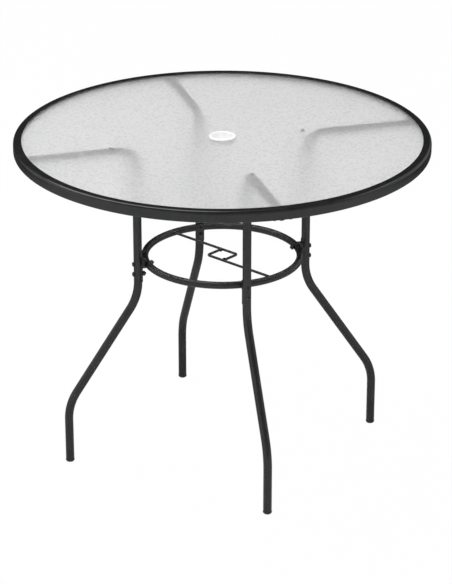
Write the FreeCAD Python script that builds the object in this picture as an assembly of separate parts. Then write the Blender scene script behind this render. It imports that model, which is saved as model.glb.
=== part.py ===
import FreeCAD
import Part

import math
import os

# Round glass-topped umbrella table: a rolled steel rim round a glass disc, four one-piece bent tube
# legs that carry the glass on their horizontal arms, and a hoop with a wire pole guide between them.
# Millimetres. +Z is up, the floor is Z = 0 and the pole's axis is X = Y = 0. The right leg stands
# along +X, the back leg along +Y, the left leg along -X and the front leg along -Y.

# Overall size
TABLE_D = 914.0
TABLE_H = 749.0

# Round forms are drawn with flat sides, which keeps the model light. The flats lie on the true circle.
RIM_SIDES = 60
HOOP_SIDES = 48
RING_SIDES = 24
TUBE_SIDES = 12
BORE_SIDES = 8
ROD_SIDES = 8
HEAD_SIDES = 12
ROLL_FLATS = 3
ROLL_INNER_FLATS = 2
CORNER_FLATS = 2
BEND_FLAT = 15.0

# Rim, rolled from sheet into an open channel
RIM_DEPTH = 25.0
RIM_LIP_W = 20.5
RIM_SHEET = 1.5
RIM_TOP_ROLL = 8.0
RIM_BOTTOM_ROLL = 3.0
RIM_RETURN_W = 11.0
HEM_ABOVE_GLASS = 0.4

# Glass and its edge gasket
GLASS_T = 5.0
GLASS_BELOW_RIM = 4.0
GLASS_HOLE_D = 50.8
GASKET_EDGE_T = 3.5
GASKET_HEM_GAP = 0.2

# Plastic ring that lines the umbrella hole
POLE_BORE_D = 46.0
POLE_SLEEVE_D = 50.0
POLE_FLANGE_D = 60.0
POLE_FLANGE_T = 4.0
POLE_FLANGE_EASE = 2.4
POLE_MOUTH_EASE = 1.6
POLE_SLEEVE_BELOW = 14.0
POLE_COLLAR_D = 58.0
POLE_COLLAR_T = 4.0

# Leg tube and the line that its centre follows, in the vertical plane through the table's axis
LEG_TUBE_D = 19.05
LEG_WALL = 1.2
LEG_UPPER_R = 194.5
LEG_FOOT_R = 359.5
ARM_END_R = 444.0
ARM_BEND_R = 44.0
SPLAY_BEND_R = 116.0
SPLAY_ANGLE = 33.7
SPLAY_TOP_Z = 424.0

# Bumper between arm and glass
PAD_D = 9.0
PAD_T = 1.0
PAD_SKIRT = 3.0
PAD_R = {"front": 235.0, "right": 184.0, "back": 265.0, "left": 250.0}

# Foot cap
CAP_D = 20.2
CAP_H = 6.0
CAP_ROLL = 4.6
CAP_PLUG_L = 12.0
CAP_PLUG_LEAD = 2.0

# Stretcher hoop and the pole guide inside it
HOOP_Z = 466.0
HOOP_R = 173.5
HOOP_TUBE_D = 16.0
HOOP_WALL = 1.2
GUIDE_WIRE_D = 5.0
GUIDE_ANGLE = -58.0
GUIDE_SIDE = 47.0
GUIDE_CORNER_R = 7.0

# Joint between leg and hoop
BOLT_D = 6.0
BOLT_HOLE_D = 6.4
BOLT_HEAD_D = 10.5
BOLT_HEAD_H = 3.3
BOLT_HEAD_EDGE = 0.8
BOLT_CROWN_D = 5.4
BOLT_CROWN_SHOULDER_D = 8.6
BOLT_CROWN_SHOULDER_H = 2.4
BOLT_TIP = 2.2
LOWER_BOLT_DROP = 24.0
NUT_AF = 10.0
NUT_H = 5.0
NUT_EASE = 0.7
NUT_SEAT_GAP = 0.1
PLATE_T = 1.4
PLATE_H = 60.0
PLATE_W = 20.0
PLATE_CORNER_R = 4.0
SPACER_W = 15.0
SPACER_H = 20.0
SPACER_CORNER_R = 2.5
SPACER_LAP = 5.0

# Bracket that joins the end of each arm to the rim's bottom return
BRACKET_SHEET = 1.5
BRACKET_INNER_R = 412.0
BRACKET_OUTER_R = 453.2
BRACKET_WAIST_R = 434.0
BRACKET_NARROW_W = 27.0
BRACKET_WIDE_W = 46.0
BRACKET_CORNER_R = 4.0
TROUGH_END_GAP = 0.5
SCREW_D = 4.0
SCREW_HOLE_D = 4.3
SCREW_HEAD_D = 7.6
SCREW_HEAD_H = 2.2
SCREW_HEAD_EASE = 1.2
RIM_SCREW_R = 450.0
RIM_SCREW_SIDE = 17.0
RIM_SCREW_L = 8.0
ARM_SCREW_R = 424.0
ARM_SCREW_L = 9.0

# Sizes that follow from those above
RIM_R = TABLE_D / 2
RIM_INNER_R = RIM_R - RIM_SHEET
LIP_R = RIM_R - RIM_LIP_W
RIM_BOTTOM_Z = TABLE_H - RIM_DEPTH
RETURN_TOP_Z = RIM_BOTTOM_Z + RIM_SHEET
LIP_UNDER_Z = TABLE_H - RIM_SHEET
GLASS_TOP_Z = TABLE_H - GLASS_BELOW_RIM
GLASS_UNDER_Z = GLASS_TOP_Z - GLASS_T
GLASS_R = RIM_INNER_R - GASKET_EDGE_T
TUBE_R = LEG_TUBE_D / 2
TUBE_BORE_R = TUBE_R - LEG_WALL
ARM_Z = GLASS_UNDER_Z - PAD_T - TUBE_R
HOOP_TUBE_R = HOOP_TUBE_D / 2
LOWER_BOLT_Z = HOOP_Z - LOWER_BOLT_DROP
PLATE_Z = (HOOP_Z + LOWER_BOLT_Z) / 2

LEG_TURN = {"right": 0.0, "back": 90.0, "left": 180.0, "front": 270.0}
UP = FreeCAD.Vector(0, 0, 1)
ORIGIN = FreeCAD.Vector(0, 0, 0)
OUTWARD = FreeCAD.Vector(1, 0, 0)


def vec(x, y, z):
    return FreeCAD.Vector(x, y, z)


def turned(shape, angle):
    """A copy of the shape turned about the table's axis."""
    copy = shape.copy()
    copy.rotate(ORIGIN, UP, angle)
    return copy


def eased(points):
    """The outline through (x, y, radius, flats) corners, with each roll or chamfer as that many flats."""
    spots = [vec(x, y, 0) for x, y, _, _ in points]
    outline = []
    for i, (_, _, radius, flats) in enumerate(points):
        corner = spots[i]
        if radius == 0:
            outline.append(corner)
            continue
        to_last = (spots[i - 1] - corner).normalize()
        to_next = (spots[(i + 1) % len(spots)] - corner).normalize()
        half = to_last.getAngle(to_next) / 2
        middle = corner + (to_last + to_next).normalize() * (radius / math.sin(half))
        start = corner + to_last * (radius / math.tan(half)) - middle
        turn = to_last.cross(to_next).z
        sweep = math.copysign(math.pi - 2 * half, -turn)
        for step in range(flats + 1):
            angle = sweep * step / flats
            cos, sin = math.cos(angle), math.sin(angle)
            outline.append(middle + vec(start.x * cos - start.y * sin, start.x * sin + start.y * cos, 0))
    return outline


def face_of(outline):
    return Part.Face(Part.makePolygon(outline + outline[:1]))


def skinned(sections, closed=False):
    """A solid with flat faces between successive sections, whose last meets the first if it is closed."""
    pairs = list(zip(sections, sections[1:]))
    faces = []
    if closed:
        pairs.append((sections[-1], sections[0]))
    else:
        faces = [face_of(sections[0]), face_of(sections[-1])]
    for near, far in pairs:
        for i in range(len(near)):
            after = (i + 1) % len(near)
            faces.append(face_of([near[i], near[after], far[after], far[i]]))
    solid = Part.Solid(Part.Shell(faces)).removeSplitter()
    if solid.Volume < 0:
        solid.reverse()
    return solid


def flat_turns(sides):
    """The angles of a regular outline's corners, with one flat square to X."""
    return [math.pi * (2 * i + 1) / sides for i in range(sides)]


def ringed(outline, sides):
    """A flat-sided ring about the table's axis, from a closed outline whose X is radius and Y is height."""
    grow = 1 / math.cos(math.pi / sides)
    sections = [[vec(p.x * grow * math.cos(a), p.x * grow * math.sin(a), p.y) for p in outline]
                for a in flat_turns(sides)]
    return skinned(sections, True)


def flat_sided(radius, sides, height=0.0):
    """The corners of a level regular outline at a height, with its flats at the radius."""
    corner_r = radius / math.cos(math.pi / sides)
    return [vec(corner_r * math.cos(a), corner_r * math.sin(a), height) for a in flat_turns(sides)]


def stacked(rings, sides):
    """A flat-sided solid that stands on end, through (radius, height) rings from the bottom up."""
    return skinned([flat_sided(r, sides, z) for r, z in rings])


def upright_bar(radius, length, base, sides):
    bar = stacked([(radius, 0), (radius, length)], sides)
    bar.translate(base)
    return bar


def aimed_out(shape, radius, height):
    """Lays a shape built along +Z so that it points outwards along +X, at a radius and height."""
    laid = shape.copy()
    laid.rotate(ORIGIN, vec(0, 1, 0), 90)
    laid.translate(vec(radius, 0, height))
    return laid


def level_bar(radius, inner_end, outer_end, height, sides):
    """A flat-sided bar that runs outwards along +X."""
    return aimed_out(stacked([(radius, 0), (radius, outer_end - inner_end)], sides), inner_end, height)


def rounded_slab(length, width, thickness, corner_r):
    """A flat slab centred on the origin, lying along X and Y, with eased corners."""
    corners = [(x * length / 2, y * width / 2, corner_r, CORNER_FLATS)
               for x, y in ((-1, -1), (1, -1), (1, 1), (-1, 1))]
    slab = face_of(eased(corners)).extrude(UP * thickness)
    slab.translate(UP * (-thickness / 2))
    return slab


# Table top

def make_rim():
    """The rolled channel: hem, lip, fascia and bottom return, with two screw holes at each arm."""
    hem_z = GLASS_TOP_Z + HEM_ABOVE_GLASS
    rim = ringed(eased([
        (LIP_R, hem_z, 0, 0),
        (LIP_R, TABLE_H, 0, 0),
        (RIM_R, TABLE_H, RIM_TOP_ROLL, ROLL_FLATS),
        (RIM_R, RIM_BOTTOM_Z, RIM_BOTTOM_ROLL, 1),
        (RIM_R - RIM_RETURN_W, RIM_BOTTOM_Z, 0, 0),
        (RIM_R - RIM_RETURN_W, RETURN_TOP_Z, 0, 0),
        (RIM_INNER_R, RETURN_TOP_Z, 0, 0),
        (RIM_INNER_R, LIP_UNDER_Z, RIM_TOP_ROLL - RIM_SHEET, ROLL_INNER_FLATS),
        (LIP_R + RIM_SHEET, LIP_UNDER_Z, 0, 0),
        (LIP_R + RIM_SHEET, hem_z, 0, 0),
    ]), RIM_SIDES)
    for angle in LEG_TURN.values():
        for side in (-RIM_SCREW_SIDE, RIM_SCREW_SIDE):
            spot = vec(RIM_SCREW_R, side, RIM_BOTTOM_Z - RIM_SHEET)
            hole = upright_bar(SCREW_HOLE_D / 2, 3 * RIM_SHEET, spot, ROD_SIDES)
            rim = rim.cut(turned(hole, angle))
    return rim


def make_gasket():
    """The strip round the glass that keeps its edge and its upper face off the steel."""
    inner_r = LIP_R + RIM_SHEET + GASKET_HEM_GAP
    return ringed(eased([
        (inner_r, GLASS_TOP_Z, 0, 0),
        (GLASS_R, GLASS_TOP_Z, 0, 0),
        (GLASS_R, GLASS_UNDER_Z, 0, 0),
        (RIM_INNER_R, GLASS_UNDER_Z, 0, 0),
        (RIM_INNER_R, LIP_UNDER_Z, RIM_TOP_ROLL - RIM_SHEET, ROLL_INNER_FLATS),
        (inner_r, LIP_UNDER_Z, 0, 0),
    ]), RIM_SIDES)


def make_glass():
    """The tempered disc, with the umbrella hole through its middle."""
    disc = face_of(flat_sided(GLASS_R, RIM_SIDES, GLASS_UNDER_Z))
    hole = face_of(flat_sided(GLASS_HOLE_D / 2, RING_SIDES, GLASS_UNDER_Z))
    return disc.cut(hole).extrude(UP * GLASS_T).Solids[0]


def make_pole_ring():
    """The flanged sleeve that drops into the umbrella hole from above."""
    flange_top = GLASS_TOP_Z + POLE_FLANGE_T
    sleeve_end = GLASS_UNDER_Z - POLE_SLEEVE_BELOW
    bore_r = POLE_BORE_D / 2
    sleeve_r = POLE_SLEEVE_D / 2
    flange_r = POLE_FLANGE_D / 2
    ring = stacked([(sleeve_r, sleeve_end), (sleeve_r, GLASS_TOP_Z), (flange_r, GLASS_TOP_Z),
                    (flange_r, flange_top - POLE_FLANGE_EASE), (flange_r - POLE_FLANGE_EASE, flange_top)],
                   RING_SIDES)
    ring = ring.cut(Part.makeCylinder(bore_r, flange_top - sleeve_end, vec(0, 0, sleeve_end)))
    mouth = Part.makeCone(bore_r, bore_r + POLE_MOUTH_EASE, POLE_MOUTH_EASE,
                          vec(0, 0, flange_top - POLE_MOUTH_EASE))
    return ring.cut(mouth)


def make_pole_collar():
    """The collar pushed up the sleeve from below, which clamps the ring to the glass."""
    under = GLASS_UNDER_Z - POLE_COLLAR_T
    outer = stacked([(POLE_COLLAR_D / 2, under), (POLE_COLLAR_D / 2, GLASS_UNDER_Z)], RING_SIDES)
    return outer.cut(stacked([(POLE_SLEEVE_D / 2, under), (POLE_SLEEVE_D / 2, GLASS_UNDER_Z)], RING_SIDES))


# Legs

def leg_line():
    """The leg's centre line as (radius, height, bend radius), from the arm's end to the foot cap."""
    splay = math.radians(SPLAY_ANGLE)
    bend_out = SPLAY_BEND_R * (1 - math.cos(splay))
    bend_down = SPLAY_BEND_R * math.sin(splay)
    straight_out = LEG_FOOT_R - LEG_UPPER_R - 2 * bend_out
    foot_bend_z = SPLAY_TOP_Z - 2 * bend_down - straight_out / math.tan(splay)
    corner_reach = SPLAY_BEND_R * math.tan(splay / 2)
    return [
        (ARM_END_R, ARM_Z, 0),
        (LEG_UPPER_R, ARM_Z, ARM_BEND_R),
        (LEG_UPPER_R, SPLAY_TOP_Z - corner_reach, SPLAY_BEND_R),
        (LEG_FOOT_R, foot_bend_z + corner_reach, SPLAY_BEND_R),
        (LEG_FOOT_R, CAP_H, 0),
    ]


def bent_bar(line, radius, sides):
    """A flat-sided bar along straight runs joined by bends, in the plane Y = 0."""
    spots = [vec(r, 0, z) for r, z, _ in line]
    heading = (spots[1] - spots[0]).normalize()
    stations = [(spots[0], FreeCAD.Rotation(UP, heading))]
    for i in range(1, len(line) - 1):
        onward = (spots[i + 1] - spots[i]).normalize()
        turn = math.degrees(heading.getAngle(onward))
        bend_r = line[i][2]
        start = spots[i] - heading * (bend_r * math.tan(math.radians(turn / 2)))
        axis = heading.cross(onward).normalize()
        centre = start + axis.cross(heading) * bend_r
        before = stations[-1][1]
        flats = math.ceil(turn / BEND_FLAT)
        for step in range(flats + 1):
            swing = FreeCAD.Rotation(axis, turn * step / flats)
            stations.append((centre + swing.multVec(start - centre), swing.multiply(before)))
        heading = onward
    stations.append((spots[-1], stations[-1][1]))
    section = flat_sided(radius, sides)
    return skinned([[spot + facing.multVec(corner) for corner in section] for spot, facing in stations])


def make_leg():
    """One tube with three bends, drilled for the two hoop bolts and for the arm's screw."""
    line = leg_line()
    leg = bent_bar(line, TUBE_R, TUBE_SIDES).cut(bent_bar(line, TUBE_BORE_R, BORE_SIDES))
    for z in (HOOP_Z, LOWER_BOLT_Z):
        drill = level_bar(BOLT_HOLE_D / 2, LEG_UPPER_R - LEG_TUBE_D, LEG_UPPER_R + LEG_TUBE_D, z, ROD_SIDES)
        leg = leg.cut(drill)
    pilot = upright_bar(SCREW_D / 2, LEG_TUBE_D, vec(ARM_SCREW_R, 0, ARM_Z - LEG_TUBE_D), ROD_SIDES)
    return leg.cut(pilot)


def make_foot_cap():
    """A plug with a rolled tread, pressed into the foot of the leg."""
    tread_r = CAP_D / 2
    tread = eased([(0, 0, 0, 0), (tread_r, 0, CAP_ROLL, ROLL_FLATS), (tread_r, CAP_H, 0, 0)])
    cap = stacked([(spot.x, spot.y) for spot in tread[1:]], TUBE_SIDES)
    plug_top = CAP_H + CAP_PLUG_L
    cap = cap.fuse(stacked([(TUBE_BORE_R, CAP_H), (TUBE_BORE_R, plug_top - CAP_PLUG_LEAD),
                            (TUBE_BORE_R - CAP_PLUG_LEAD, plug_top)], BORE_SIDES))
    cap.translate(vec(LEG_FOOT_R, 0, 0))
    return cap


def make_pad(radius):
    """A rubber bumper under the glass, hollowed below to sit on an arm."""
    height = PAD_T + PAD_SKIRT
    pad = upright_bar(PAD_D / 2, height, vec(radius, 0, GLASS_UNDER_Z - height), HEAD_SIDES)
    return pad.cut(level_bar(TUBE_R, radius - PAD_D, radius + PAD_D, ARM_Z, TUBE_SIDES))


# Stretcher hoop

def hoop_bar(radius, sides):
    """A flat-sided bar bent to the hoop's circle."""
    return ringed([corner + vec(HOOP_R, HOOP_Z, 0) for corner in flat_sided(radius, sides)], HOOP_SIDES)


def make_hoop():
    """A welded tube hoop, drilled straight through for the upper bolt at each leg."""
    hoop = hoop_bar(HOOP_TUBE_R, TUBE_SIDES).cut(hoop_bar(HOOP_TUBE_R - HOOP_WALL, BORE_SIDES))
    drill = level_bar(BOLT_HOLE_D / 2, HOOP_R - HOOP_TUBE_D, HOOP_R + HOOP_TUBE_D, HOOP_Z, ROD_SIDES)
    for angle in LEG_TURN.values():
        hoop = hoop.cut(turned(drill, angle))
    return hoop


def make_guide_wire(turn):
    """Half of the pole guide: a run from the hoop, one bend, and a leg that butts the other half."""
    half = GUIDE_SIDE / 2
    wire = bent_bar([(-HOOP_R, half, 0), (half, half, GUIDE_CORNER_R), (half, -half, 0)],
                    GUIDE_WIRE_D / 2, ROD_SIDES)
    wire.rotate(ORIGIN, OUTWARD, -90)
    wire.translate(vec(0, 0, HOOP_Z))
    other_run = level_bar(GUIDE_WIRE_D / 2, -HOOP_R, half, HOOP_Z, ROD_SIDES)
    other_run.translate(vec(0, half, 0))
    wire = wire.cut(hoop_bar(HOOP_TUBE_R, TUBE_SIDES)).cut(turned(other_run, 180))
    longest = max(wire.Solids, key=lambda solid: solid.Volume)
    return turned(longest, GUIDE_ANGLE + turn)


# Joint between leg and hoop

def make_leg_plate():
    """The curved plate that backs the leg's inner side behind both bolts."""
    base = vec(LEG_UPPER_R, 0, PLATE_Z - PLATE_H)
    shell = upright_bar(TUBE_R + PLATE_T, 2 * PLATE_H, base, TUBE_SIDES)
    shell = shell.cut(upright_bar(TUBE_R, 2 * PLATE_H, base, TUBE_SIDES))
    blank = rounded_slab(PLATE_H, PLATE_W, TUBE_R, PLATE_CORNER_R)
    plate = shell.common(aimed_out(blank, LEG_UPPER_R - TUBE_R, PLATE_Z))
    for z in (HOOP_Z, LOWER_BOLT_Z):
        plate = plate.cut(level_bar(BOLT_HOLE_D / 2, HOOP_R, LEG_UPPER_R, z, ROD_SIDES))
    return plate


def make_spacer():
    """The moulded saddle between hoop and leg, hollowed to fit the round of each."""
    inner_r = HOOP_R + HOOP_TUBE_R - SPACER_LAP
    outer_r = LEG_UPPER_R - TUBE_R - PLATE_T + SPACER_LAP
    block = rounded_slab(SPACER_H, SPACER_W, outer_r - inner_r, SPACER_CORNER_R)
    block = aimed_out(block, (inner_r + outer_r) / 2, HOOP_Z)
    base = vec(LEG_UPPER_R, 0, HOOP_Z - SPACER_H)
    block = block.cut(upright_bar(TUBE_R + PLATE_T, 2 * SPACER_H, base, TUBE_SIDES))
    block = block.cut(hoop_bar(HOOP_TUBE_R, TUBE_SIDES))
    return block.cut(level_bar(BOLT_HOLE_D / 2, HOOP_R, LEG_UPPER_R, HOOP_Z, ROD_SIDES))


def make_bolt(seat_r, tip_r, height):
    """A button-headed bolt that points inwards, its head seated on the leg's outer side."""
    shank = stacked([(BOLT_D / 2, tip_r - seat_r), (BOLT_D / 2, 0)], ROD_SIDES)
    head = stacked([(BOLT_HEAD_D / 2, 0), (BOLT_HEAD_D / 2, BOLT_HEAD_EDGE),
                    (BOLT_CROWN_SHOULDER_D / 2, BOLT_CROWN_SHOULDER_H), (BOLT_CROWN_D / 2, BOLT_HEAD_H)],
                   HEAD_SIDES)
    return aimed_out(shank.fuse(head), seat_r, height)


def make_nut(seat_r, height):
    """A hexagon nut with eased edges, bored for the bolt, its outer face on the seat."""
    eased_r = NUT_AF / 2 - NUT_EASE
    nut = stacked([(eased_r, 0), (NUT_AF / 2, NUT_EASE), (NUT_AF / 2, NUT_H)], 6)
    nut = nut.cut(upright_bar(BOLT_D / 2, 3 * NUT_H, vec(0, 0, -NUT_H), ROD_SIDES))
    return aimed_out(nut, seat_r - NUT_H, height)


# Joint between arm and rim

def make_rim_bracket():
    """A pressed bracket: a trough under the end of the arm, and wings on the rim's bottom return."""
    wide = BRACKET_WIDE_W / 2
    narrow = BRACKET_NARROW_W / 2
    shoulder_r = BRACKET_WAIST_R + wide - narrow
    wings = face_of(eased([
        (BRACKET_INNER_R, -narrow, BRACKET_CORNER_R, 1),
        (BRACKET_WAIST_R, -narrow, 0, 0),
        (shoulder_r, -wide, 0, 0),
        (BRACKET_OUTER_R, -wide, BRACKET_CORNER_R, 1),
        (BRACKET_OUTER_R, wide, BRACKET_CORNER_R, 1),
        (shoulder_r, wide, 0, 0),
        (BRACKET_WAIST_R, narrow, 0, 0),
        (BRACKET_INNER_R, narrow, BRACKET_CORNER_R, 1),
    ])).extrude(UP * BRACKET_SHEET)
    wings.translate(vec(0, 0, RETURN_TOP_Z))
    trough_end = RIM_R - RIM_RETURN_W - TROUGH_END_GAP
    trough = level_bar(TUBE_R + BRACKET_SHEET, BRACKET_INNER_R, trough_end, ARM_Z, TUBE_SIDES)
    above = Part.makeBox(RIM_R, 2 * LEG_TUBE_D, LEG_TUBE_D, vec(0, -LEG_TUBE_D, ARM_Z))
    bracket = wings.fuse(trough.cut(above))
    bracket = bracket.cut(level_bar(TUBE_R, 0, trough_end, ARM_Z, TUBE_SIDES))
    for side in (-RIM_SCREW_SIDE, RIM_SCREW_SIDE):
        spot = vec(RIM_SCREW_R, side, RETURN_TOP_Z - RIM_SHEET)
        bracket = bracket.cut(upright_bar(SCREW_D / 2, 4 * BRACKET_SHEET, spot, ROD_SIDES))
    below = vec(ARM_SCREW_R, 0, ARM_Z - LEG_TUBE_D)
    bracket = bracket.cut(upright_bar(SCREW_HOLE_D / 2, LEG_TUBE_D, below, ROD_SIDES))
    return bracket.removeSplitter()


def make_screw(length):
    """A pan-headed screw that stands on end, its head below the origin."""
    head_r = SCREW_HEAD_D / 2
    shank_r = SCREW_D / 2
    return stacked([(head_r - SCREW_HEAD_EASE, -SCREW_HEAD_H), (head_r, 0), (shank_r, 0), (shank_r, length)],
                   ROD_SIDES)


def make_rim_screws():
    """The two screws of one bracket, driven up through the rim's bottom return."""
    screws = []
    for side in (-RIM_SCREW_SIDE, RIM_SCREW_SIDE):
        screw = make_screw(RIM_SCREW_L)
        screw.translate(vec(RIM_SCREW_R, side, RIM_BOTTOM_Z))
        screws.append(screw)
    return screws


def make_arm_screw():
    """The screw that holds the arm down in the bracket's trough."""
    screw = make_screw(ARM_SCREW_L)
    screw.translate(vec(ARM_SCREW_R, 0, ARM_Z - TUBE_R - BRACKET_SHEET))
    return screw


def at_every_leg(shapes):
    """One group of separate solids: the given ones repeated at all four legs."""
    return Part.makeCompound([turned(s, angle) for angle in LEG_TURN.values() for s in shapes])


def build():
    parts = {
        "table_rim": make_rim(),
        "glass_edge_gasket": make_gasket(),
        "glass_top": make_glass(),
        "umbrella_hole_ring": make_pole_ring(),
        "umbrella_ring_collar": make_pole_collar(),
        "stretcher_ring": make_hoop(),
        "pole_guide_wire_rear": make_guide_wire(0),
        "pole_guide_wire_front": make_guide_wire(180),
    }
    repeated = {
        "leg": make_leg(),
        "foot_cap": make_foot_cap(),
        "leg_plate": make_leg_plate(),
        "ring_spacer": make_spacer(),
        "rim_bracket": make_rim_bracket(),
    }
    for side, angle in LEG_TURN.items():
        for name, shape in repeated.items():
            parts[name + "_" + side] = turned(shape, angle)
        parts["glass_pad_" + side] = turned(make_pad(PAD_R[side]), angle)
    upper_seat = HOOP_R - HOOP_TUBE_R - NUT_SEAT_GAP
    lower_seat = LEG_UPPER_R - TUBE_R - PLATE_T
    upper_tip = upper_seat - NUT_H - BOLT_TIP
    lower_tip = lower_seat - NUT_H - BOLT_TIP
    leg_face = LEG_UPPER_R + TUBE_R
    parts["upper_ring_bolts"] = at_every_leg([make_bolt(leg_face, upper_tip, HOOP_Z)])
    parts["lower_plate_bolts"] = at_every_leg([make_bolt(leg_face, lower_tip, LOWER_BOLT_Z)])
    parts["upper_ring_nuts"] = at_every_leg([make_nut(upper_seat, HOOP_Z)])
    parts["lower_plate_nuts"] = at_every_leg([make_nut(lower_seat, LOWER_BOLT_Z)])
    parts["rim_bracket_screws"] = at_every_leg(make_rim_screws())
    parts["arm_screws"] = at_every_leg([make_arm_screw()])
    return parts


os.makedirs("parts", exist_ok=True)
for node, shape in build().items():
    shape.exportStep("parts/" + node + ".step")
    print(node, len(shape.Solids), "solids", round(shape.Volume / 1000, 2), "cm3", shape.isValid())
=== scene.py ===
import math

import bmesh
import bpy
from mathutils import Matrix, Vector


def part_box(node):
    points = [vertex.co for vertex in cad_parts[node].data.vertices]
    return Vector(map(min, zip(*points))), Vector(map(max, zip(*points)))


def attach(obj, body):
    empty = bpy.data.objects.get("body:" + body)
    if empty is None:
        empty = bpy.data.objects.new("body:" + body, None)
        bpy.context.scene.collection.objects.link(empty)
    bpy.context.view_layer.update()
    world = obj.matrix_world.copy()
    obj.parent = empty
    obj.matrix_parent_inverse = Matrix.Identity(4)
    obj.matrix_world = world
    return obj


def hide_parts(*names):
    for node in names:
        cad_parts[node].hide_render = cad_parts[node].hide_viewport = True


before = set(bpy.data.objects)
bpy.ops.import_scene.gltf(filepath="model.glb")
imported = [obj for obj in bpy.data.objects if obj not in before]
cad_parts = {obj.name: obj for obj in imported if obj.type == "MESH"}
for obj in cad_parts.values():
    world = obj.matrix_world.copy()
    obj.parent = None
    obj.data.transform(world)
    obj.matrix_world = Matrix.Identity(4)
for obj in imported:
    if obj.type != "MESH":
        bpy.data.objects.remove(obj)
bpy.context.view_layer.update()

# A round umbrella table. Metres, +Z up, the floor at Z = 0 and the umbrella pole's axis at X = Y = 0.
# The right leg stands along +X, the back leg along +Y.

LEG_TURN = {"right": 0.0, "back": 90.0, "left": 180.0, "front": 270.0}
AXIS_X = Vector((1, 0, 0))
AXIS_Y = Vector((0, 1, 0))
AXIS_Z = Vector((0, 0, 1))

# Fineness of the round forms
ROUND_STEPS = 240
RING_STEPS = 120
FASTENER_STEPS = 48
TUBE_STEPS = 40
PAD_STEPS = 32
WIRE_STEPS = 24
BEND_STEP = math.radians(3)
CORNER_STEP = math.radians(15)
SLAB_STEPS = 24
HOLLOW_STEPS = 12
TROUGH_STEPS = 16
CROWN_STEPS = 6
MERGE_GAP = 1e-6
ALMOST_ZERO = 1e-6
SHARP_TURN = math.radians(35)
SHARP_GLASS_TURN = math.radians(5)

# Sizes read from the frame
rim_low, rim_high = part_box("table_rim")
glass_low, glass_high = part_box("glass_top")
hoop_low, hoop_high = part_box("stretcher_ring")
leg_low, leg_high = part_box("leg_right")
cap_low, cap_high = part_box("foot_cap_right")
ring_low, ring_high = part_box("umbrella_hole_ring")
collar_low, collar_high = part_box("umbrella_ring_collar")
plate_low, plate_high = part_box("leg_plate_right")
spacer_low, spacer_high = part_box("ring_spacer_right")
bracket_low, bracket_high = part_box("rim_bracket_right")

RIM_R = rim_high.x
RIM_TOP = rim_high.z
RIM_BOTTOM = rim_low.z
GLASS_TOP = glass_high.z
GLASS_UNDER = glass_low.z

# Rim
RIM_SHEET = 0.0015
RIM_LIP_W = 0.0183
RIM_TOP_ROLL = 0.008
RIM_BOTTOM_ROLL = 0.003
RIM_RETURN_W = 0.011
RIM_EDGE_EASE = 0.0004
RIM_LIP_T = 0.0009

# Glass, and the seal round its edge
GLASS_HOLE_R = 0.0254
GLASS_ARRIS = 0.0006
SEAL_SETBACK = 0.0065
SEAL_EASE = 0.0003
SEAL_HEEL_EASE = 0.0006

# Leg tube, and the line that its centre follows
TUBE_R = 0.009525
TUBE_WALL = 0.0012
ARM_BEND_R = 0.044
SPLAY_BEND_R = 0.116
SPLAY_ANGLE = math.radians(33.7)
SPLAY_TOP = 0.424
ARM_Z = leg_high.z - TUBE_R
ARM_END_R = leg_high.x
LEG_UPPER_R = leg_low.x + TUBE_R
LEG_FOOT_R = (cap_low.x + cap_high.x) / 2
FOOT_TUBE_Z = leg_low.z

# Foot cap
CAP_R = (cap_high.x - cap_low.x) / 2
CAP_ROLL = 0.0046
CAP_LIP_EASE = 0.0006

# Hoop and pole guide
HOOP_TUBE_R = (hoop_high.z - hoop_low.z) / 2
HOOP_R = hoop_high.x - HOOP_TUBE_R
HOOP_Z = (hoop_low.z + hoop_high.z) / 2
WIRE_R = 0.0029
GUIDE_TURN = -58.0
GUIDE_HALF = 0.0235
GUIDE_CORNER_R = 0.007

# A wire's long end stops inside the hoop's tube and its short end inside the other wire, each short of
# the centre line there by this share of the radius.
END_IN_HOOP = 0.6
END_IN_WIRE = 0.8

# The weld at each end of a wire, as (distance from the end, swelling of the wire's radius).
WELD = ((0.0, 1.7), (0.0035, 1.6), (0.005, 1.25), (0.0065, 1.0))

# Ring in the umbrella hole, and its collar
BORE_R = 0.023
SLEEVE_R = 0.025
FLANGE_R = ring_high.x
BORE_ROLL = 0.0016
FLANGE_ROLL = 0.0024
RING_EASE = 0.0005
COLLAR_ROLL = 0.0012
COLLAR_TOP_EASE = 0.0006
COLLAR_BORE_EASE = 0.0004

# Plates and spacers between leg and hoop
PLATE_T = 0.0014
PLATE_CORNER_R = 0.004
SPACER_LAP = 0.005
SPACER_CORNER_R = 0.0025

# Pads under the glass
PAD_H = 0.004
PAD_ROLL = 0.001
PAD_EASE = 0.0002

# Bracket under the end of each arm
BRACKET_T = 0.0015
BRACKET_WAIST = 0.434
BRACKET_NARROW = 0.0135
BRACKET_CORNER = 0.002
TROUGH_END = RIM_R - RIM_RETURN_W - 0.0005

# Bolts, nuts and screws
BOLT_R = 0.003
BOLT_HEAD_R = 0.00525
BOLT_HEAD_EDGE = 0.0008
BOLT_HEAD_H = 0.0033
BOLT_CROWN_R = 0.0027
BOLT_TIP = 0.0022
SOCKET_HALF = 0.002
SOCKET_DEPTH = 0.002
THREAD_PITCH = 0.001
THREAD_DEPTH = 0.0004
NUT_HALF = 0.005
NUT_H = 0.005
NUT_EASE = 0.0007
SCREW_R = 0.002
SCREW_HEAD_R = 0.0038
SCREW_HEAD_H = 0.0016
SCREW_HEAD_FLAT = 0.62
SCREW_HEAD_EDGE = 0.3
SCREW_POINT = 0.3
SCREW_RECESS = (0.0019, 0.00045)
SCREW_RECESS_DEPTH = 0.0012
RIM_SCREW_R = 0.450
RIM_SCREW_SIDE = 0.017
RIM_SCREW_L = 0.008
ARM_SCREW_R = 0.424
ARM_SCREW_L = 0.009
FASTENER_SEED = 7


# Materials

WHITE = (1, 1, 1, 1)
BLACK = (0, 0, 0, 1)


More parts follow.
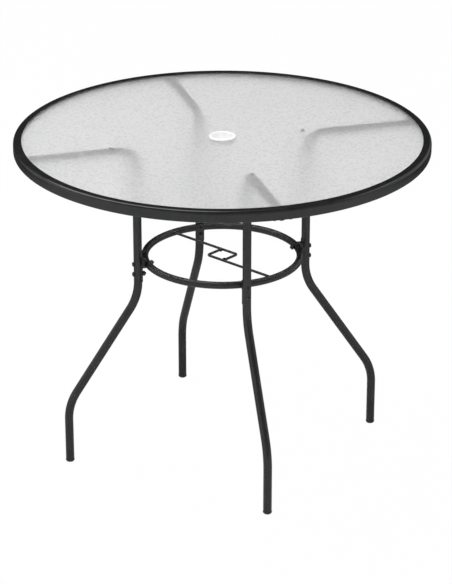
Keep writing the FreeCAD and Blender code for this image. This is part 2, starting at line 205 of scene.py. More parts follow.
class Value:
    """A socket that takes part in sums, each of which adds a Math node."""

    def __init__(self, shader, socket):
        self.shader = shader
        self.socket = socket

    def sum(self, operation, *others):
        node = self.shader.tree.nodes.new("ShaderNodeMath")
        node.operation = operation
        for slot, item in zip(node.inputs, others):
            self.shader.feed(slot, item)
        return Value(self.shader, node.outputs[0])

    def __add__(self, other):
        return self.sum("ADD", self, other)

    __radd__ = __add__

    def __mul__(self, other):
        return self.sum("MULTIPLY", self, other)

    __rmul__ = __mul__

    def __sub__(self, other):
        return self.sum("SUBTRACT", self, other)

    def __rsub__(self, other):
        return self.sum("SUBTRACT", other, self)


class Shader:
    """A node tree being built, for a material or the world."""

    def __init__(self, tree):
        self.tree = tree
        self.tree.nodes.clear()

    def feed(self, slot, item):
        if isinstance(item, Value):
            self.tree.links.new(item.socket, slot)
        else:
            slot.default_value = item

    def node(self, kind, settings=None, **sockets):
        """A node of one type: its settings first, then values or links for its sockets by name."""
        node = self.tree.nodes.new(kind)
        for name, setting in (settings or {}).items():
            if name == "stops":
                self.set_stops(node.color_ramp, setting)
            else:
                setattr(node, name, setting)
        for name, item in sockets.items():
            self.feed(node.inputs[name.replace("_", " ")], item)
        return node

    def set_stops(self, ramp, stops):
        while len(ramp.elements) < len(stops):
            ramp.elements.new(0.5)
        for element, (place, shade) in zip(ramp.elements, stops):
            element.position = place
            element.color = (shade, shade, shade, 1)

    def out(self, node, name):
        return Value(self, node.outputs[name])

    def object_place(self):
        return self.out(self.node("ShaderNodeTexCoord"), "Object")

    def noise(self, scale, detail, roughness=0.5):
        """A 0 to 1 noise over the object's own coordinates; scale is in cycles a metre."""
        node = self.node("ShaderNodeTexNoise", Vector=self.object_place(), Scale=scale,
                         Detail=detail, Roughness=roughness)
        return self.out(node, "Fac")

    def ramp(self, factor, *stops):
        return self.out(self.node("ShaderNodeValToRGB", {"stops": stops}, Fac=factor), "Color")

    def blend(self, factor, first, second):
        """A colour between two, by a factor."""
        node = self.node("ShaderNodeMix", {"data_type": "RGBA"})
        self.feed(node.inputs["Factor"], factor)
        for slot, item in zip([s for s in node.inputs if s.type == "RGBA"], (first, second)):
            self.feed(slot, item)
        return Value(self, next(s for s in node.outputs if s.type == "RGBA"))

    def bump(self, height, distance, strength):
        node = self.node("ShaderNodeBump", Height=height, Distance=distance, Strength=strength)
        return self.out(node, "Normal")

    def surface(self, **sockets):
        """Ends a material in one Principled shader."""
        shader = self.node("ShaderNodeBsdfPrincipled", **sockets)
        output = self.tree.nodes.new("ShaderNodeOutputMaterial")
        self.tree.links.new(shader.outputs[0], output.inputs["Surface"])


def new_material(name):
    material = bpy.data.materials.new(name)
    material.use_nodes = True
    return material, Shader(material.node_tree)


def black_powder_coat():
    """Satin black powder coat: fine orange peel, with a little dust in the grain."""
    material, s = new_material("black_powder_coat")
    peel = s.noise(900.0, detail=2.0)
    dust = s.noise(38.0, detail=5.0, roughness=0.62)
    clean = (0.011, 0.0115, 0.0125, 1)
    dusty = (0.020, 0.020, 0.021, 1)
    s.surface(Base_Color=s.blend(s.ramp(dust, (0.35, 0.0), (0.75, 1.0)), clean, dusty),
              Roughness=0.19 + 0.10 * dust, Specular_IOR_Level=0.38,
              Normal=s.bump(peel, distance=0.00015, strength=0.3))
    return material


def pebbled_glass():
    """Tempered glass with a pebbled, hazy underside, so that what is under it blurs with depth."""
    material, s = new_material("pebbled_glass")
    pebble = s.noise(175.0, detail=2.0)
    # Painted shade: the base colour darkens in the pebbles' hollows, where the bump is low, to stand in for
    # the light and shade that the pebbled relief throws.
    grain = s.ramp(pebble, (0.38, 0.0), (0.50, 1.0))
    hollow_painted_shade = (0.78, 0.785, 0.785, 1)
    s.surface(Base_Color=s.blend(grain, hollow_painted_shade, WHITE), Roughness=0.28, Transmission_Weight=0.82, IOR=1.5,
              Specular_Tint=(0.4, 0.4, 0.4, 1), Normal=s.bump(pebble, distance=0.0006, strength=0.6))
    return material


def moulded_plastic(name, dark, light, roughness):
    """Moulded plastic with a fine spark-eroded grain and slight colour variation."""
    material, s = new_material(name)
    mottle = s.noise(60.0, detail=4.0)
    grain = s.noise(1600.0, detail=1.0)
    s.surface(Base_Color=s.blend(mottle, dark, light), Roughness=roughness + 0.1 * grain,
              Specular_IOR_Level=0.45, Normal=s.bump(grain, distance=0.0001, strength=0.4))
    return material


def blackened_steel():
    """Blackened steel, a little uneven."""
    material, s = new_material("blackened_steel")
    patches = s.noise(240.0, detail=4.0, roughness=0.6)
    dark = (0.010, 0.010, 0.011, 1)
    worn = (0.022, 0.022, 0.022, 1)
    s.surface(Base_Color=s.blend(patches, dark, worn), Roughness=0.30 + 0.2 * patches,
              Specular_IOR_Level=0.5, Normal=s.bump(patches, distance=0.00005, strength=0.3))
    return material


def soft_rubber():
    """Matt black rubber, a little dusty."""
    material, s = new_material("soft_rubber")
    dust = s.noise(90.0, detail=4.0)
    clean = (0.018, 0.018, 0.018, 1)
    dusty = (0.04, 0.04, 0.04, 1)
    s.surface(Base_Color=s.blend(dust, clean, dusty), Roughness=0.7 + 0.2 * dust,
              Specular_IOR_Level=0.3, Normal=s.bump(dust, distance=0.0002, strength=0.3))
    return material


MATERIALS = {
    "black_coat": black_powder_coat(),
    "frosted_glass": pebbled_glass(),
    "white_plastic": moulded_plastic(
        "white_plastic", dark=(0.93, 0.93, 0.92, 1), light=(0.97, 0.97, 0.965, 1), roughness=0.34),
    "black_rubber": soft_rubber(),
    "black_plastic": moulded_plastic(
        "black_plastic", dark=(0.012, 0.012, 0.012, 1), light=(0.024, 0.024, 0.024, 1), roughness=0.42),
    "black_fastener": blackened_steel(),
}


# Shapes

def rounded_outline(corners):
    """A closed outline through (radius, height, roll) corners, with an arc at each rolled one."""
    spots = [Vector((r, z)) for r, z, _ in corners]
    outline = []
    for i, (_, _, roll) in enumerate(corners):
        corner = spots[i]
        if roll == 0:
            outline.append(corner)
            continue
        to_last = (spots[i - 1] - corner).normalized()
        to_next = (spots[(i + 1) % len(spots)] - corner).normalized()
        half = to_last.angle(to_next) / 2
        centre = corner + (to_last + to_next).normalized() * (roll / math.sin(half))
        start = corner + to_last * (roll / math.tan(half)) - centre
        turn = math.pi - 2 * half
        sweep = math.copysign(turn, -to_last.cross(to_next))
        steps = max(2, round(turn / CORNER_STEP))
        for step in range(steps + 1):
            outline.append(centre + Matrix.Rotation(sweep * step / steps, 2) @ start)
    return outline


def object_from(name, build, sharp):
    """A linked object from a bmesh: faces outwards, smooth but for its sharp edges."""
    bmesh.ops.recalc_face_normals(build, faces=build.faces)
    for face in build.faces:
        face.smooth = True
    for edge in build.edges:
        edge.smooth = edge.calc_face_angle(0) < sharp
    mesh = bpy.data.meshes.new(name)
    build.to_mesh(mesh)
    build.free()
    piece = bpy.data.objects.new(name, mesh)
    bpy.context.scene.collection.objects.link(piece)
    return piece


def hand_in(piece, replaced):
    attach(piece, "root")
    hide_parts(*replaced)


def finish_mesh(name, build, slot, replaced, sharp=SHARP_TURN):
    """Closes a bmesh into a finished piece that takes the place of CAD nodes."""
    bmesh.ops.remove_doubles(build, verts=build.verts, dist=MERGE_GAP)
    piece = object_from(name, build, sharp)
    piece.data.materials.append(MATERIALS[slot])
    hand_in(piece, replaced)


def add_rings(build, rings, closed):
    """Skins successive rings of points with faces, the last ring joined to the first if closed."""
    rows = [[build.verts.new(p) for p in ring] for ring in rings]
    pairs = list(zip(rows, rows[1:]))
    if closed:
        pairs.append((rows[-1], rows[0]))
    for near, far in pairs:
        for i in range(len(near)):
            after = (i + 1) % len(near)
            build.faces.new((near[i], near[after], far[after], far[i]))
    return rows


def add_turned(build, outline, steps=ROUND_STEPS):
    """Turns a closed outline that stays clear of the Z axis all the way round it."""
    rings = []
    for step in range(steps):
        angle = 2 * math.pi * step / steps
        cos, sin = math.cos(angle), math.sin(angle)
        rings.append([Vector((p.x * cos, p.x * sin, p.y)) for p in outline])
    add_rings(build, rings, True)


def round_rule(radius):
    return lambda angle: radius


def hexagon_rule(half):
    """A hexagon's radius at each angle, from half its width across the flats."""
    return lambda angle: half / math.cos(angle % (math.pi / 3) - math.pi / 6)


def cross_rule(half_length, half_width):
    """The radius of a plus-shaped recess at each angle."""
    def radius(angle):
        cos, sin = max(abs(math.cos(angle)), ALMOST_ZERO), max(abs(math.sin(angle)), ALMOST_ZERO)
        return max(min(half_length / cos, half_width / sin), min(half_width / cos, half_length / sin))
    return radius


def level_rings(levels, steps):
    """Level rings round the Z axis, from (height, rule) pairs whose rule gives the radius at each angle."""
    angles = [2 * math.pi * i / steps for i in range(steps)]
    return [[Vector((rule(a) * math.cos(a), rule(a) * math.sin(a), height)) for a in angles]
            for height, rule in levels]


def add_solid(build, rings):
    """Skins successive rings into a solid with a flat face at each end."""
    rows = add_rings(build, rings, False)
    build.faces.new(rows[0])
    build.faces.new(rows[-1])


def add_stack(build, levels, steps):
    add_solid(build, level_rings(levels, steps))


def bent_line(corners):
    """Centre points and headings along straight runs joined by arcs, from (point, bend radius) corners."""
    spots = [p for p, _ in corners]
    heading = (spots[1] - spots[0]).normalized()
    line = [(spots[0], heading)]
    for i in range(1, len(corners) - 1):
        onward = (spots[i + 1] - spots[i]).normalized()
        turn = heading.angle(onward)
        bend_r = corners[i][1]
        start = spots[i] - heading * bend_r * math.tan(turn / 2)
        axis = heading.cross(onward).normalized()
        centre = start + axis.cross(heading) * bend_r
        steps = max(2, round(turn / BEND_STEP))
        for step in range(steps + 1):
            swing = Matrix.Rotation(turn * step / steps, 3, axis)
            line.append((centre + swing @ (start - centre), swing @ heading))
        heading = onward
    line.append((spots[-1], heading))
    return line


def ring_points(centre, heading, side, radius, steps=TUBE_STEPS):
    """A circle of points square to a heading, where side is the bend plane's own normal."""
    other = heading.cross(side)
    angles = [2 * math.pi * i / steps for i in range(steps)]
    return [centre + (side * math.cos(a) + other * math.sin(a)) * radius for a in angles]


def add_tube(build, line, side, radius, wall):
    """A tube with open ends: an outer skin, an inner skin and the two cut faces between them."""
    outer = [ring_points(p, heading, side, radius) for p, heading in line]
    inner = [ring_points(p, heading, side, radius - wall) for p, heading in line]
    add_rings(build, outer + inner[::-1], True)


def turned_matrix(angle):
    return Matrix.Rotation(math.radians(angle), 4, "Z")


# Table top

def make_rim():
    """The rolled steel channel round the glass."""
    lip_r = RIM_R - RIM_LIP_W
    inner_r = RIM_R - RIM_SHEET
    outline = rounded_outline([
        (lip_r, RIM_TOP - RIM_LIP_T, RIM_EDGE_EASE),
        (lip_r, RIM_TOP, RIM_EDGE_EASE),
        (RIM_R, RIM_TOP, RIM_TOP_ROLL),
        (RIM_R, RIM_BOTTOM, RIM_BOTTOM_ROLL),
        (RIM_R - RIM_RETURN_W, RIM_BOTTOM, RIM_EDGE_EASE),
        (RIM_R - RIM_RETURN_W, RIM_BOTTOM + RIM_SHEET, RIM_EDGE_EASE),
        (inner_r, RIM_BOTTOM + RIM_SHEET, RIM_BOTTOM_ROLL - RIM_SHEET),
        (inner_r, RIM_TOP - RIM_SHEET, RIM_TOP_ROLL - RIM_SHEET),
    ])
    build = bmesh.new()
    add_turned(build, outline)
    finish_mesh("rim_channel", build, "black_coat", ["table_rim"])


def make_pole_ring():
    """The white plastic ring that lines the umbrella hole."""
    outline = rounded_outline([
        (BORE_R, ring_low.z, RING_EASE),
        (SLEEVE_R, ring_low.z, RING_EASE),
        (SLEEVE_R, GLASS_TOP, 0),
        (FLANGE_R, GLASS_TOP, RING_EASE),
        (FLANGE_R, ring_high.z, FLANGE_ROLL),
        (BORE_R, ring_high.z, BORE_ROLL),
    ])
    build = bmesh.new()
    add_turned(build, outline, RING_STEPS)
    finish_mesh("umbrella_ring", build, "white_plastic", ["umbrella_hole_ring"])


def make_glass():
    """The tempered disc, with ground edges round its rim and its hole."""
    glass_r = glass_high.x
    build = bmesh.new()
    add_turned(build, rounded_outline([
        (GLASS_HOLE_R, GLASS_UNDER, GLASS_ARRIS),
        (glass_r, GLASS_UNDER, GLASS_ARRIS),
        (glass_r, GLASS_TOP, GLASS_ARRIS),
        (GLASS_HOLE_R, GLASS_TOP, GLASS_ARRIS),
    ]))
    finish_mesh("glass_disc", build, "frosted_glass", ["glass_top"], SHARP_GLASS_TURN)


def make_gasket():
    """The seal that wraps the glass edge inside the channel."""
    inner_r = RIM_R - RIM_LIP_W + SEAL_SETBACK
    build = bmesh.new()
    add_turned(build, rounded_outline([
        (inner_r, GLASS_TOP, SEAL_EASE),
        (glass_high.x, GLASS_TOP, 0),
        (glass_high.x, GLASS_UNDER, SEAL_EASE),
        (RIM_R - RIM_SHEET, GLASS_UNDER, SEAL_HEEL_EASE),
        (RIM_R - RIM_SHEET, RIM_TOP - RIM_SHEET, RIM_TOP_ROLL - RIM_SHEET),
        (inner_r, RIM_TOP - RIM_SHEET, SEAL_EASE),
    ]))
    finish_mesh("glass_seal", build, "black_rubber", ["glass_edge_gasket"])


def make_collar():
    """The collar that holds the ring from below, with a rolled outer edge."""
    build = bmesh.new()
    add_turned(build, rounded_outline([
        (SLEEVE_R, collar_low.z, COLLAR_BORE_EASE),
        (collar_high.x, collar_low.z, COLLAR_ROLL),
        (collar_high.x, collar_high.z, COLLAR_TOP_EASE),
        (SLEEVE_R, collar_high.z, 0),
    ]), RING_STEPS)
    finish_mesh("ring_collar", build, "white_plastic", ["umbrella_ring_collar"])


# Legs

def leg_corners():
    """The corners of the leg's centre line with their bend radii, in the plane Y = 0."""
    bend_out = SPLAY_BEND_R * (1 - math.cos(SPLAY_ANGLE))
    bend_down = SPLAY_BEND_R * math.sin(SPLAY_ANGLE)
    straight_out = LEG_FOOT_R - LEG_UPPER_R - 2 * bend_out
    foot_bend_z = SPLAY_TOP - 2 * bend_down - straight_out / math.tan(SPLAY_ANGLE)
    reach = SPLAY_BEND_R * math.tan(SPLAY_ANGLE / 2)
    return [
        (Vector((ARM_END_R, 0, ARM_Z)), 0),
        (Vector((LEG_UPPER_R, 0, ARM_Z)), ARM_BEND_R),
        (Vector((LEG_UPPER_R, 0, SPLAY_TOP - reach)), SPLAY_BEND_R),
        (Vector((LEG_FOOT_R, 0, foot_bend_z + reach)), SPLAY_BEND_R),
        (Vector((LEG_FOOT_R, 0, FOOT_TUBE_Z)), 0),
    ]


def make_at_legs(name, replaced, slot, fill):
    """One piece at each leg: the fill function adds it at +X, and it is turned to its leg."""
    for side, angle in LEG_TURN.items():
        build = bmesh.new()
        fill(build, side)
        bmesh.ops.transform(build, matrix=turned_matrix(angle), verts=build.verts)
        finish_mesh(name + "_" + side, build, slot, [replaced + "_" + side])


def fill_leg(build, side):
    """The leg's bent tube, from the arm's end to the foot."""
    add_tube(build, bent_line(leg_corners()), AXIS_Y, TUBE_R, TUBE_WALL)


def fill_cap(build, side):
    """A plastic cap, rounded underneath and eased where it meets the tube."""
    outline = rounded_outline([
        (0, cap_low.z, 0), (CAP_R, cap_low.z, CAP_ROLL),
        (CAP_R, FOOT_TUBE_Z, CAP_LIP_EASE), (0, FOOT_TUBE_Z, 0)])
    add_stack(build, [(p.y, round_rule(p.x)) for p in outline[1:-1]], TUBE_STEPS)
    bmesh.ops.translate(build, vec=(LEG_FOOT_R, 0, 0), verts=build.verts)


def fill_pad(build, side):
    """A round rubber pad stuck under the glass."""
    low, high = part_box("glass_pad_" + side)
    half = (high - low) / 2
    radius = max(half.x, half.y)
    reach = ((low + high) / 2).to_2d().length
    low_z = GLASS_UNDER - PAD_H
    outline = rounded_outline([
        (0, low_z, 0), (radius, low_z, PAD_ROLL), (radius, GLASS_UNDER, PAD_EASE), (0, GLASS_UNDER, 0)])
    add_stack(build, [(p.y, round_rule(p.x)) for p in outline[1:-1]], PAD_STEPS)
    bmesh.ops.translate(build, vec=(reach, 0, 0), verts=build.verts)


def slab_half(across, half_width, half_height, corner_r):
    """Half the height of a round-cornered slab at a distance across it."""
    past = max(0.0, abs(across) - (half_width - corner_r))
    return half_height - corner_r + math.sqrt(max(0.0, corner_r ** 2 - past ** 2))


def fill_plate(build, side):
    """The round-cornered plate bent round the leg's inner side."""
    half_width = (plate_high.y - plate_low.y) / 2
    half_height = (plate_high.z - plate_low.z) / 2
    middle = (plate_high.z + plate_low.z) / 2
    outer_r = TUBE_R + PLATE_T
    swing = math.asin(half_width / outer_r)
    rings = []
    for step in range(SLAB_STEPS + 1):
        angle = math.pi + swing * (2 * step / SLAB_STEPS - 1)
        half = slab_half(outer_r * math.sin(angle), half_width, half_height, PLATE_CORNER_R)
        ring = []
        for radius, z in ((TUBE_R, -half), (outer_r, -half), (outer_r, half), (TUBE_R, half)):
            x = LEG_UPPER_R + radius * math.cos(angle)
            ring.append(Vector((x, radius * math.sin(angle), middle + z)))
        rings.append(ring)
    add_solid(build, rings)


def fill_spacer(build, side):
    """The saddle between hoop and plate, hollowed to the round of each."""
    half_width = (spacer_high.y - spacer_low.y) / 2
    half_height = (spacer_high.z - spacer_low.z) / 2
    inner_x = HOOP_R + HOOP_TUBE_R - SPACER_LAP
    bite = math.acos(1 - SPACER_LAP / HOOP_TUBE_R)
    rings = []
    for step in range(SLAB_STEPS + 1):
        y = half_width * (2 * step / SLAB_STEPS - 1)
        half = slab_half(y, half_width, half_height, SPACER_CORNER_R)
        outer_x = LEG_UPPER_R - math.sqrt((TUBE_R + PLATE_T) ** 2 - y ** 2)
        ring = [Vector((outer_x, y, HOOP_Z - half)), Vector((outer_x, y, HOOP_Z + half)),
                Vector((inner_x, y, HOOP_Z + half))]
        for turn in range(HOLLOW_STEPS + 1):
            angle = bite * (1 - 2 * turn / HOLLOW_STEPS)
            out, up = HOOP_TUBE_R * math.cos(angle), HOOP_TUBE_R * math.sin(angle)
            ring.append(Vector((HOOP_R + out, y, HOOP_Z + up)))
        ring.append(Vector((inner_x, y, HOOP_Z - half)))
        rings.append(ring)
    add_solid(build, rings)


def fill_bracket(build, side):
    """A pressed bracket: a trough under the arm's end, with wings that widen on to the rim's return."""
    wing_low = RIM_BOTTOM + RIM_SHEET
    wing_high = wing_low + BRACKET_T
    wide = (bracket_high.y - bracket_low.y) / 2
    shoulder = BRACKET_WAIST + wide - BRACKET_NARROW
    dip = math.asin((ARM_Z - wing_high) / TUBE_R)
    sweep = math.pi - 2 * dip
    rings = []
    tip = bracket_low.x
    for x, half in ((tip, BRACKET_NARROW - BRACKET_CORNER), (tip + BRACKET_CORNER, BRACKET_NARROW),
                    (BRACKET_WAIST, BRACKET_NARROW), (shoulder, wide), (TROUGH_END, wide)):
        under = [Vector((x, -half, wing_low))]
        over = [Vector((x, -half, wing_high))]
        for step in range(TROUGH_STEPS + 1):
            angle = math.pi + dip + sweep * step / TROUGH_STEPS
            across = Vector((0, math.cos(angle), math.sin(angle)))
            middle = Vector((x, 0, ARM_Z))
            over.append(middle + across * TUBE_R)
            under.append(middle + across * (TUBE_R + BRACKET_T))
        under.append(Vector((x, half, wing_low)))
        over.append(Vector((x, half, wing_high)))
        rings.append(under + over[::-1])
    add_solid(build, rings)
    rings = []
    end = bracket_high.x
    for x, half in ((TROUGH_END, wide), (end - BRACKET_CORNER, wide), (end, wide - BRACKET_CORNER)):
        rings.append([Vector((x, -half, wing_low)), Vector((x, half, wing_low)),
                      Vector((x, half, wing_high)), Vector((x, -half, wing_high))])
    add_solid(build, rings)


# Bolts, nuts and screws

def bolt_levels(length):
    """A button-headed bolt with a hexagon socket, its head above the origin and its thread below."""
    levels = []
    height = -length
    while height < -length + BOLT_TIP + NUT_H / 2:
        levels.append((height, round_rule(BOLT_R - THREAD_DEPTH)))
        levels.append((height + THREAD_PITCH / 2, round_rule(BOLT_R)))
        height += THREAD_PITCH
    levels += [(0, round_rule(BOLT_R)), (0, round_rule(BOLT_HEAD_R))]
    for step in range(CROWN_STEPS + 1):
        angle = math.pi / 2 * step / CROWN_STEPS
        radius = BOLT_CROWN_R + (BOLT_HEAD_R - BOLT_CROWN_R) * math.cos(angle)
        height = BOLT_HEAD_EDGE + (BOLT_HEAD_H - BOLT_HEAD_EDGE) * math.sin(angle)
        levels.append((height, round_rule(radius)))
    socket = hexagon_rule(SOCKET_HALF)
    return levels + [(BOLT_HEAD_H, socket), (BOLT_HEAD_H - SOCKET_DEPTH, socket)]


def screw_levels(length):
    """A pan-headed screw with a cross recess, its head above the origin and its point below."""
    levels = [(-length, round_rule(SCREW_R * SCREW_POINT)), (-length + SCREW_R, round_rule(SCREW_R)),
              (0, round_rule(SCREW_R)), (0, round_rule(SCREW_HEAD_R))]
    for step in range(CROWN_STEPS + 1):
        angle = math.pi / 2 * step / CROWN_STEPS
        radius = SCREW_HEAD_R * (SCREW_HEAD_FLAT + (1 - SCREW_HEAD_FLAT) * math.cos(angle))
        height = SCREW_HEAD_H * (SCREW_HEAD_EDGE + (1 - SCREW_HEAD_EDGE) * math.sin(angle))
        levels.append((height, round_rule(radius)))
    recess = cross_rule(*SCREW_RECESS)
    return levels + [(SCREW_HEAD_H, recess), (SCREW_HEAD_H - SCREW_RECESS_DEPTH, recess)]


def bolt_of(length):
    build = bmesh.new()
    add_stack(build, bolt_levels(length), FASTENER_STEPS)
    return build


def screw_of(length):
    build = bmesh.new()
    add_stack(build, screw_levels(length), FASTENER_STEPS)
    return build


def nut_build():
    """A hexagon nut with eased corners, its seat at the origin."""
    eased = round_rule(NUT_HALF - NUT_EASE / 2)
    flats = hexagon_rule(NUT_HALF)
    bore = round_rule(BOLT_R)
    levels = [(0, bore), (0, eased), (NUT_EASE, flats),
              (NUT_H - NUT_EASE, flats), (NUT_H, eased), (NUT_H, bore)]
    build = bmesh.new()
    add_rings(build, level_rings(levels, FASTENER_STEPS), True)
    return build


def fastener_tree():
    """Geometry nodes that set one fastener on every seat, aimed as the seat says and turned at random."""
    tree = bpy.data.node_groups.new("set_fasteners", "GeometryNodeTree")
    for name, kind in (("Seats", "NodeSocketGeometry"), ("Fastener", "NodeSocketObject"),
                       ("Seed", "NodeSocketInt"), ("Material", "NodeSocketMaterial")):
        tree.interface.new_socket(name, in_out="INPUT", socket_type=kind)
    tree.interface.new_socket("Fasteners", in_out="OUTPUT", socket_type="NodeSocketGeometry")
    t = Shader(tree)
    given = t.node("NodeGroupInput")
    shape = t.node("GeometryNodeObjectInfo", Object=t.out(given, "Fastener"))
    aim = t.node("GeometryNodeInputNamedAttribute", {"data_type": "FLOAT_VECTOR"}, Name="aim")
    facing = t.node("FunctionNodeAlignRotationToVector", {"axis": "Z"}, Vector=t.out(aim, "Attribute"))
    placed = t.node("GeometryNodeInstanceOnPoints", Points=t.out(given, "Seats"),
                    Instance=t.out(shape, "Geometry"), Rotation=t.out(facing, "Rotation"))
    chance = t.node("FunctionNodeRandomValue", {"data_type": "FLOAT"}, Seed=t.out(given, "Seed"))
    turn = t.node("ShaderNodeCombineXYZ", Z=Value(t, chance.outputs[1]) * (2 * math.pi))
    turned = t.node("GeometryNodeRotateInstances", Instances=t.out(placed, "Instances"),
                    Rotation=t.out(turn, "Vector"))
    real = t.node("GeometryNodeRealizeInstances", Geometry=t.out(turned, "Instances"))
    painted = t.node("GeometryNodeSetMaterial", Geometry=t.out(real, "Geometry"),
                     Material=t.out(given, "Material"))
    t.node("NodeGroupOutput", Fasteners=t.out(painted, "Geometry"))
    return tree


def make_fasteners(tree, name, node, build, seats):
    """Sets one fastener at every (place, aim) seat, repeated at the four legs, as one plain mesh."""
    bmesh.ops.remove_doubles(build, verts=build.verts, dist=MERGE_GAP)
    single = object_from(name + "_single", build, SHARP_TURN)
    places = []
    aims = []
    for angle in LEG_TURN.values():
        turn = turned_matrix(angle)
        for place, aim in seats:
            places.append(turn @ Vector(place))
            aims.append(turn @ aim)
    mesh = bpy.data.meshes.new(name + "_seats")
    mesh.from_pydata(places, [], [])
    directions = mesh.attributes.new("aim", "FLOAT_VECTOR", "POINT")
    for item, aim in zip(directions.data, aims):
        item.vector = aim
    holder = bpy.data.objects.new(name + "_seats", mesh)
    bpy.context.scene.collection.objects.link(holder)
    modifier = holder.modifiers.new("set", "NODES")
    modifier.node_group = tree
    given = {"Fastener": single, "Seed": FASTENER_SEED, "Material": MATERIALS["black_fastener"]}
    for socket in tree.interface.items_tree:
        if socket.in_out == "INPUT" and socket.name in given:
            modifier[socket.identifier] = given[socket.name]
    placed = bpy.data.meshes.new_from_object(holder.evaluated_get(bpy.context.evaluated_depsgraph_get()))
    bpy.data.objects.remove(holder)
    bpy.data.objects.remove(single)
    piece = bpy.data.objects.new(name, placed)
    bpy.context.scene.collection.objects.link(piece)
    hand_in(piece, [node])


def make_all_fasteners():
    tree = fastener_tree()
    face = LEG_UPPER_R + TUBE_R
    upper = HOOP_R - HOOP_TUBE_R
    lower = LEG_UPPER_R - TUBE_R - PLATE_T
    # The lower row is as far below the plates' middle as the hoop's row is above it.
    lower_z = plate_low.z + plate_high.z - HOOP_Z
    for row, seat, z in (("upper_ring", upper, HOOP_Z), ("lower_plate", lower, lower_z)):
        bolt = bolt_of(face - seat + NUT_H + BOLT_TIP)
        make_fasteners(tree, row + "_bolt_set", row + "_bolts", bolt, [((face, 0, z), AXIS_X)])
        make_fasteners(tree, row + "_nut_set", row + "_nuts", nut_build(), [((seat, 0, z), -AXIS_X)])
    rim_seats = [((RIM_SCREW_R, side, RIM_BOTTOM), -AXIS_Z) for side in (-RIM_SCREW_SIDE, RIM_SCREW_SIDE)]
    make_fasteners(tree, "rim_screw_set", "rim_bracket_screws", screw_of(RIM_SCREW_L), rim_seats)
    arm_seat = (ARM_SCREW_R, 0, ARM_Z - TUBE_R - BRACKET_T)
    make_fasteners(tree, "arm_screw_set", "arm_screws", screw_of(ARM_SCREW_L), [(arm_seat, -AXIS_Z)])


# Hoop and pole guide

def make_hoop():
    line = []
    for step in range(ROUND_STEPS):
        angle = 2 * math.pi * step / ROUND_STEPS
        out = Vector((math.cos(angle), math.sin(angle), 0))
        line.append((out * HOOP_R + AXIS_Z * HOOP_Z, AXIS_Z.cross(out)))
    build = bmesh.new()
    add_rings(build, [ring_points(p, heading, AXIS_Z, HOOP_TUBE_R) for p, heading in line], True)
    finish_mesh("hoop_tube", build, "black_coat", ["stretcher_ring"])


def make_guide_wires():
    """The two bent wires, welded to the hoop and to each other, that make the pole's square."""
    start = -math.sqrt((HOOP_R - HOOP_TUBE_R * END_IN_HOOP) ** 2 - GUIDE_HALF ** 2)
    corners = [
        (Vector((start, GUIDE_HALF, HOOP_Z)), 0),
        (Vector((GUIDE_HALF, GUIDE_HALF, HOOP_Z)), GUIDE_CORNER_R),
        (Vector((GUIDE_HALF, -GUIDE_HALF + WIRE_R * END_IN_WIRE, HOOP_Z)), 0),
    ]
    for name, turn in (("rear", 0.0), ("front", 180.0)):
        build = bmesh.new()
        line = bent_line(corners)
        (first, onward), (last, end_way) = line[0], line[-1]
        places = [(first + onward * step, onward, swell) for step, swell in WELD]
        places += [(p, heading, 1.0) for p, heading in line[1:-1]]
        places += [(last - end_way * step, end_way, swell) for step, swell in reversed(WELD)]
        add_solid(build, [ring_points(p, heading, AXIS_Z, WIRE_R * swell, WIRE_STEPS)
                          for p, heading, swell in places])
        bmesh.ops.transform(build, matrix=turned_matrix(GUIDE_TURN + turn), verts=build.verts)
        finish_mesh("guide_wire_" + name, build, "black_coat", ["pole_guide_wire_" + name])


# Studio

CAMERA_AT = Vector((-1.35359, -4.80168, 2.54044))
CAMERA_LOOK = Vector((0.25030, 0.88251, -0.39815))
CAMERA_LENS = 149.1
CAMERA_REACH = 100

AMBIENT = 0.42
FRONT_LAMP_AT = Vector((-0.9, -3.4, 3.0))
TABLE_MIDDLE = Vector((0, 0, 0.7))

FLOOR_SIZE = 30.0
FLOOR_GLOW = 0.985
FLOOR_MATT = (0.9, 0.9, 0.9, 1)
FLOOR_DARK = (0.06, 0.06, 0.06, 1)

# What glossy surfaces see round the table: pale walls left, right and in front, and dark above and behind.
# The (place, brightness) stops run from 0 at the left or the front to 1 at the right or the back, and for
# the tops from 0 at the horizon to 1 overhead.
SIDE_WALLS = (0.17, 1.0), (0.29, 0.0), (0.77, 0.0), (0.93, 0.75)
FRONT_WALL = (0.3, 0.45), (0.6, 0.02)
WALL_TOPS = (0.5, 1.0), (0.75, 0.03)

# The floor that they see darkens towards the back and a little to the right. The fade's place moves by
# these shares for each metre from the table's middle, where it is 0.5.
FLOOR_FADE = (0.32, 0.0), (0.77, 1.0)
FADE_BACK = 0.2
FADE_RIGHT = 0.06


def make_camera():
    camera = bpy.data.objects.new("camera", bpy.data.cameras.new("camera"))
    camera.location = CAMERA_AT
    camera.rotation_euler = CAMERA_LOOK.to_track_quat("-Z", "Y").to_euler()
    camera.data.lens = CAMERA_LENS
    camera.data.clip_end = CAMERA_REACH
    bpy.context.scene.collection.objects.link(camera)
    bpy.context.scene.camera = camera


def seen_background(s):
    """1 where the ray comes from the camera, a glossy surface or through glass."""
    path = s.node("ShaderNodeLightPath")
    seen = s.out(path, "Is Camera Ray") + s.out(path, "Is Glossy Ray") + s.out(path, "Is Transmission Ray")
    return seen.sum("MINIMUM", seen, 1.0)


def reflected(s):
    """1 where the ray comes from a reflection, and 0 where it came through glass."""
    path = s.node("ShaderNodeLightPath")
    return s.out(path, "Is Glossy Ray") * (1.0 - s.out(path, "Is Transmission Ray"))


def blend_by_ray(s, lighting, shown, factor, output_kind):
    """Ends a tree in two shaders: one that lights the table, and one that is seen."""
    mix = s.node("ShaderNodeMixShader", Fac=factor)
    output = s.node(output_kind)
    s.tree.links.new(lighting.outputs[0], mix.inputs[1])
    s.tree.links.new(shown.outputs[0], mix.inputs[2])
    s.tree.links.new(mix.outputs[0], output.inputs["Surface"])


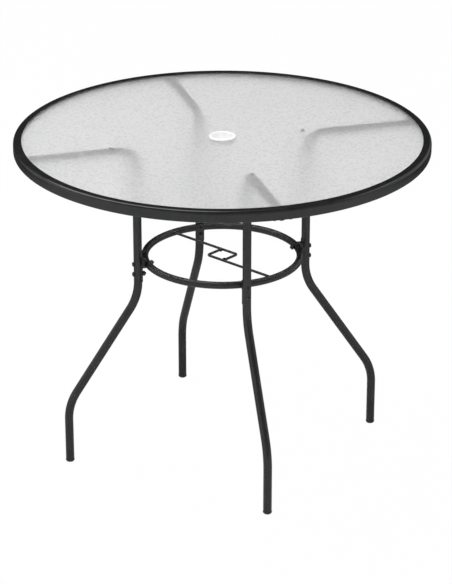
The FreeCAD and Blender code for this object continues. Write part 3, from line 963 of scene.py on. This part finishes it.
def make_world():
    world = bpy.data.worlds.new("studio")
    world.use_nodes = True
    bpy.context.scene.world = world
    s = Shader(world.node_tree)
    way = s.node("ShaderNodeSeparateXYZ", Vector=s.out(s.node("ShaderNodeTexCoord"), "Generated"))
    sides = s.ramp(s.out(way, "X") * 0.5 + 0.5, *SIDE_WALLS)
    front = s.ramp(s.out(way, "Y") * 0.5 + 0.5, *FRONT_WALL)
    walls = sides.sum("MAXIMUM", sides, front) * s.ramp(s.out(way, "Z"), *WALL_TOPS)
    shade = s.blend(reflected(s) * (1.0 - walls), WHITE, BLACK)
    ambient = s.node("ShaderNodeBackground", Color=WHITE, Strength=AMBIENT)
    shown = s.node("ShaderNodeBackground", Color=shade, Strength=1.0)
    blend_by_ray(s, ambient, shown, seen_background(s), "ShaderNodeOutputWorld")


def floor_shine(s):
    """What glossy surfaces see of the floor: white before the table, and darker behind and right of it."""
    place = s.node("ShaderNodeSeparateXYZ", Vector=s.object_place())
    back = s.ramp(s.out(place, "Y") * FADE_BACK + s.out(place, "X") * FADE_RIGHT + 0.5, *FLOOR_FADE)
    return s.blend(back * reflected(s), WHITE, FLOOR_DARK)


def make_floor():
    """A plain white floor that glows to the camera and still takes the table's soft shadow."""
    half = FLOOR_SIZE / 2
    mesh = bpy.data.meshes.new("floor")
    corners = [(-half, -half, 0), (half, -half, 0), (half, half, 0), (-half, half, 0)]
    mesh.from_pydata(corners, [], [(0, 1, 2, 3)])
    floor = bpy.data.objects.new("floor", mesh)
    bpy.context.scene.collection.objects.link(floor)
    material, s = new_material("studio_floor")
    matt = s.node("ShaderNodeBsdfDiffuse", Color=FLOOR_MATT)
    glow = s.node("ShaderNodeEmission", Color=floor_shine(s), Strength=1.0)
    blend_by_ray(s, matt, glow, seen_background(s) * FLOOR_GLOW, "ShaderNodeOutputMaterial")
    mesh.materials.append(material)


def add_softbox(name, place, length, width, power, turn=0.0):
    """A long soft lamp that hangs level and faces down, its length turned from the X axis."""
    lamp = bpy.data.objects.new(name, bpy.data.lights.new(name, "AREA"))
    lamp.data.shape = "RECTANGLE"
    lamp.data.size = length
    lamp.data.size_y = width
    lamp.data.energy = power
    lamp.location = place
    lamp.rotation_euler = (0, 0, math.radians(turn))
    bpy.context.scene.collection.objects.link(lamp)
    return lamp


def make_studio():
    make_camera()
    make_world()
    make_floor()
    add_softbox("key_lamp", (-1.3, 1.1, 3.2), length=3.4, width=1.3, power=73.0, turn=142.0)
    add_softbox("fill_lamp", (3.0, 0.0, 3.2), length=3.4, width=1.3, power=22.0, turn=90.0)
    front = add_softbox("front_lamp", FRONT_LAMP_AT, length=2.0, width=2.0, power=62.0)
    front.rotation_euler = (TABLE_MIDDLE - FRONT_LAMP_AT).to_track_quat("-Z", "Y").to_euler()
    front.visible_glossy = False
    bpy.context.scene.view_settings.view_transform = "Standard"


make_rim()
make_glass()
make_gasket()
make_pole_ring()
make_collar()
make_at_legs("leg_tube", "leg", "black_coat", fill_leg)
make_at_legs("foot_cap_round", "foot_cap", "black_plastic", fill_cap)
make_at_legs("bumper", "glass_pad", "black_rubber", fill_pad)
make_at_legs("bent_plate", "leg_plate", "black_coat", fill_plate)
make_at_legs("saddle", "ring_spacer", "black_plastic", fill_spacer)
make_at_legs("arm_bracket", "rim_bracket", "black_coat", fill_bracket)
make_hoop()
make_guide_wires()
make_all_fasteners()
make_studio()
